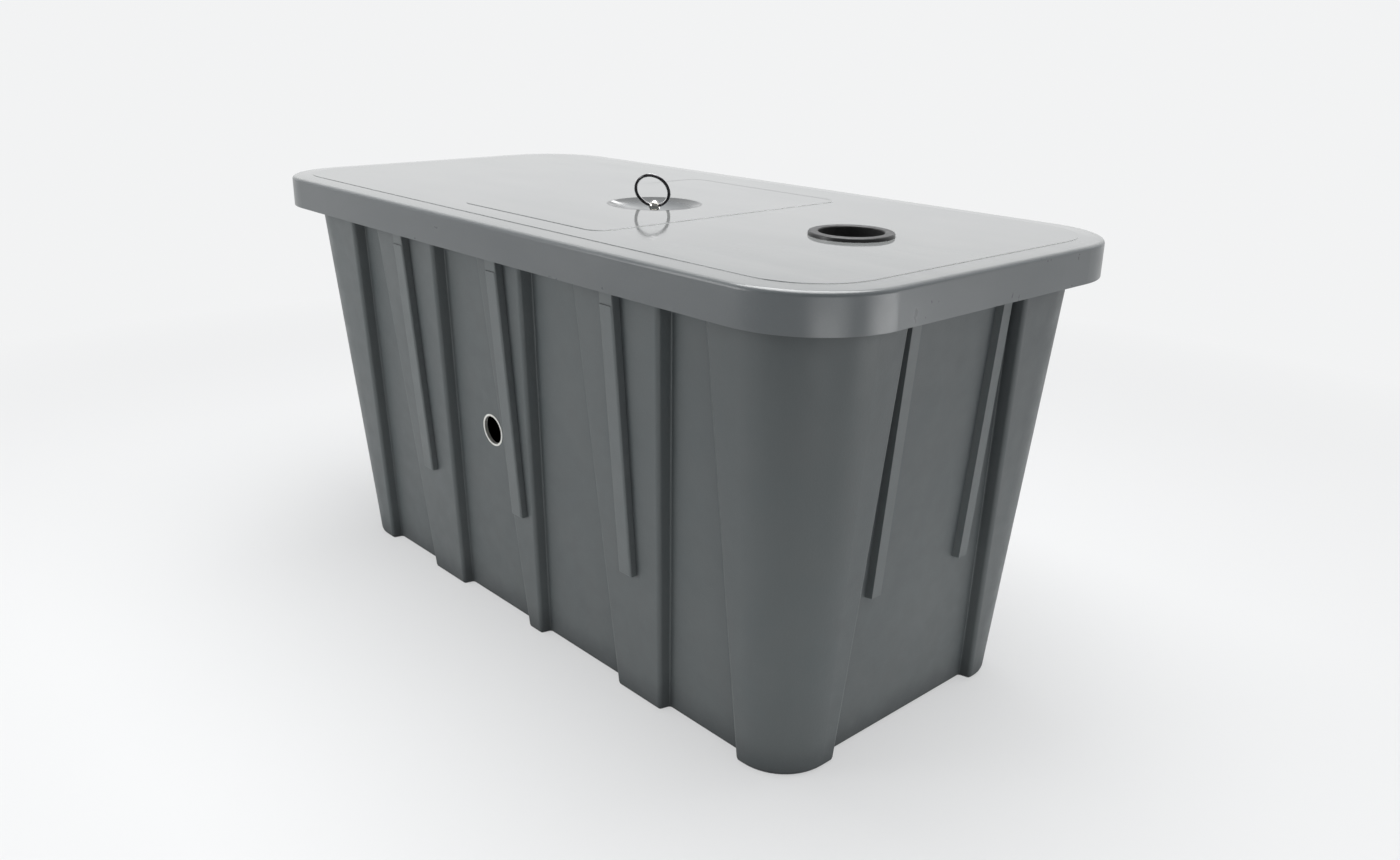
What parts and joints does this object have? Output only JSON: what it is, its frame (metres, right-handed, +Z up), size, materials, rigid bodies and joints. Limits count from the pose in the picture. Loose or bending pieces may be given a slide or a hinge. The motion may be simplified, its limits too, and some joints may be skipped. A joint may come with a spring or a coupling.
{
  "type": "grease trap tank",
  "caption": "Tapered ribbed plastic tank with a deep-skirted lift-off lid, a lifting ring in a dish, a rubber pipe grommet in the lid and a side outlet.",
  "frame": {"origin": "centre of the tank's base, on the floor plane", "axes": "+Z up, +X along the long side towards the end with the pipe grommet, -Y out of the long side with the outlet hole"},
  "size_m": [1.6, 0.8059, 0.8725],
  "materials": {
    "tank_plastic": "satin",
    "lid_plastic": "satin",
    "seal_rubber": "matt",
    "bright_steel": "polished",
    "socket_steel": "satin"
  },
  "bodies": {
    "tank": {"tank_floor": "tank_plastic", "front_left_pilaster": "tank_plastic", "front_centre_pilaster": "tank_plastic", "front_right_pilaster": "tank_plastic", "front_panels": "tank_plastic", "outlet_panel": "tank_plastic", "rear_left_pilaster": "tank_plastic", "rear_centre_pilaster": "tank_plastic", "rear_right_pilaster": "tank_plastic", "rear_panels": "tank_plastic", "right_end_wall": "tank_plastic", "left_end_wall": "tank_plastic", "front_right_corner": "tank_plastic", "front_left_corner": "tank_plastic", "rear_right_corner": "tank_plastic", "rear_left_corner": "tank_plastic", "front_ribs": "tank_plastic", "rear_ribs": "tank_plastic", "right_end_ribs": "tank_plastic", "left_end_ribs": "tank_plastic", "tank_rim": "tank_plastic", "outlet_sleeve": "socket_steel"},
    "lid": {"lid_skirt": "lid_plastic", "lid_panel": "lid_plastic", "raised_panel": "lid_plastic", "lid_dish": "lid_plastic", "lid_grommet": "seal_rubber", "eye_bolt": "bright_steel", "lower_washer": "bright_steel", "lower_nut": "bright_steel"},
    "ring": {"lifting_ring": "bright_steel"}
  },
  "joints": [
    {"name": "lid_lift", "type": "slide", "parent": "tank", "child": "lid", "axis": [0, 0, 1], "range_m": [0, 0.3]},
    {"name": "ring_swing", "type": "hinge", "parent": "lid", "child": "ring", "pos_m": [0.0675, -0.036, 0.811], "axis": [0.8572, 0.515, 0], "range_deg": [-100, 56]}
  ]
}
